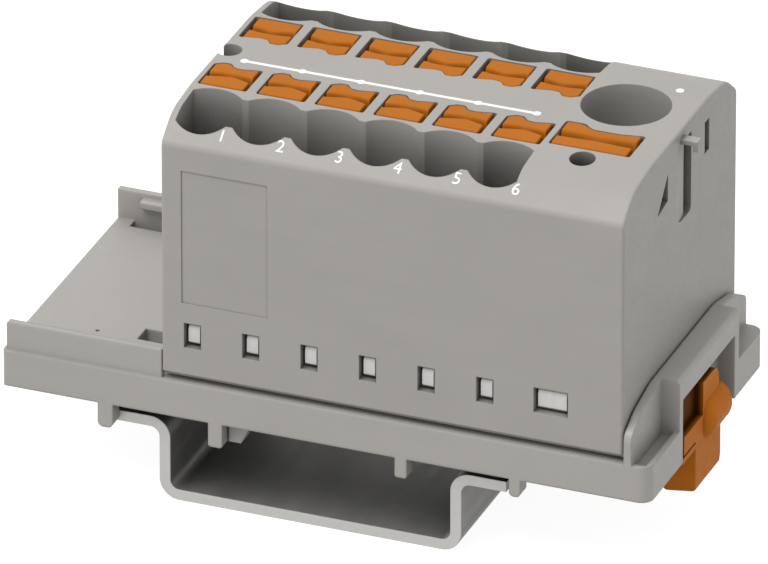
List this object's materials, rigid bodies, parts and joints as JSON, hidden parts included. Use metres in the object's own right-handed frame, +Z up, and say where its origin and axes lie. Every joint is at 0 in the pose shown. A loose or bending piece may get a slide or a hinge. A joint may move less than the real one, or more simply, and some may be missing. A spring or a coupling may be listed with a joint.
{
  "type": "power distribution block",
  "caption": "Push-in power distribution block for 35 mm mounting rail, with two rows of outlet entries beside orange release buttons, one large supply entry and a brown rail latch.",
  "frame": {"origin": "middle of the rail section's underside", "axes": "+X along the block towards its supply end, +Y from the front face to the back, +Z up from the rail to the conductor entries"},
  "size_m": [0.0583, 0.027, 0.0364],
  "materials": {
    "grey_plastic": "fine moulded grain",
    "orange_plastic": "smooth moulded",
    "brown_plastic": "smooth moulded",
    "rail_steel": "zinc plated, satin",
    "bar_metal": "tin plated",
    "spring_steel": "polished strip"
  },
  "bodies": {
    "block": {"rail_section": "rail_steel", "adapter_base": "grey_plastic", "housing": "grey_plastic", "bottom_cover": "grey_plastic", "busbar": "bar_metal", "supply_spring": "spring_steel", "outlet_spring_01": "spring_steel", "outlet_spring_02": "spring_steel", "outlet_spring_03": "spring_steel", "outlet_spring_04": "spring_steel", "outlet_spring_05": "spring_steel", "outlet_spring_06": "spring_steel", "outlet_spring_07": "spring_steel", "outlet_spring_08": "spring_steel", "outlet_spring_09": "spring_steel", "outlet_spring_10": "spring_steel", "outlet_spring_11": "spring_steel", "outlet_spring_12": "spring_steel"},
    "latch": {"rail_latch": "brown_plastic"},
    "supply_key": {"supply_button": "orange_plastic"},
    "outlet_key_01": {"outlet_button_01": "orange_plastic"},
    "outlet_key_02": {"outlet_button_02": "orange_plastic"},
    "outlet_key_03": {"outlet_button_03": "orange_plastic"},
    "outlet_key_04": {"outlet_button_04": "orange_plastic"},
    "outlet_key_05": {"outlet_button_05": "orange_plastic"},
    "outlet_key_06": {"outlet_button_06": "orange_plastic"},
    "outlet_key_07": {"outlet_button_07": "orange_plastic"},
    "outlet_key_08": {"outlet_button_08": "orange_plastic"},
    "outlet_key_09": {"outlet_button_09": "orange_plastic"},
    "outlet_key_10": {"outlet_button_10": "orange_plastic"},
    "outlet_key_11": {"outlet_button_11": "orange_plastic"},
    "outlet_key_12": {"outlet_button_12": "orange_plastic"}
  },
  "joints": [
    {"name": "latch_pull", "type": "slide", "parent": "block", "child": "latch", "axis": [1, 0, 0], "range_m": [0, 0.0025], "stiffness_N_per_m": 800},
    {"name": "supply_press", "type": "slide", "parent": "block", "child": "supply_key", "axis": [0, 0, -1], "range_m": [0, 0.0012], "stiffness_N_per_m": 600, "deforming": ["supply_spring"]},
    {"name": "outlet_press_01", "type": "slide", "parent": "block", "child": "outlet_key_01", "axis": [0, 0, -1], "range_m": [0, 0.0012], "stiffness_N_per_m": 400, "deforming": ["outlet_spring_01"]},
    {"name": "outlet_press_02", "type": "slide", "parent": "block", "child": "outlet_key_02", "axis": [0, 0, -1], "range_m": [0, 0.0012], "stiffness_N_per_m": 400, "deforming": ["outlet_spring_02"]},
    {"name": "outlet_press_03", "type": "slide", "parent": "block", "child": "outlet_key_03", "axis": [0, 0, -1], "range_m": [0, 0.0012], "stiffness_N_per_m": 400, "deforming": ["outlet_spring_03"]},
    {"name": "outlet_press_04", "type": "slide", "parent": "block", "child": "outlet_key_04", "axis": [0, 0, -1], "range_m": [0, 0.0012], "stiffness_N_per_m": 400, "deforming": ["outlet_spring_04"]},
    {"name": "outlet_press_05", "type": "slide", "parent": "block", "child": "outlet_key_05", "axis": [0, 0, -1], "range_m": [0, 0.0012], "stiffness_N_per_m": 400, "deforming": ["outlet_spring_05"]},
    {"name": "outlet_press_06", "type": "slide", "parent": "block", "child": "outlet_key_06", "axis": [0, 0, -1], "range_m": [0, 0.0012], "stiffness_N_per_m": 400, "deforming": ["outlet_spring_06"]},
    {"name": "outlet_press_07", "type": "slide", "parent": "block", "child": "outlet_key_07", "axis": [0, 0, -1], "range_m": [0, 0.0012], "stiffness_N_per_m": 400, "deforming": ["outlet_spring_07"]},
    {"name": "outlet_press_08", "type": "slide", "parent": "block", "child": "outlet_key_08", "axis": [0, 0, -1], "range_m": [0, 0.0012], "stiffness_N_per_m": 400, "deforming": ["outlet_spring_08"]},
    {"name": "outlet_press_09", "type": "slide", "parent": "block", "child": "outlet_key_09", "axis": [0, 0, -1], "range_m": [0, 0.0012], "stiffness_N_per_m": 400, "deforming": ["outlet_spring_09"]},
    {"name": "outlet_press_10", "type": "slide", "parent": "block", "child": "outlet_key_10", "axis": [0, 0, -1], "range_m": [0, 0.0012], "stiffness_N_per_m": 400, "deforming": ["outlet_spring_10"]},
    {"name": "outlet_press_11", "type": "slide", "parent": "block", "child": "outlet_key_11", "axis": [0, 0, -1], "range_m": [0, 0.0012], "stiffness_N_per_m": 400, "deforming": ["outlet_spring_11"]},
    {"name": "outlet_press_12", "type": "slide", "parent": "block", "child": "outlet_key_12", "axis": [0, 0, -1], "range_m": [0, 0.0012], "stiffness_N_per_m": 400, "deforming": ["outlet_spring_12"]}
  ]
}
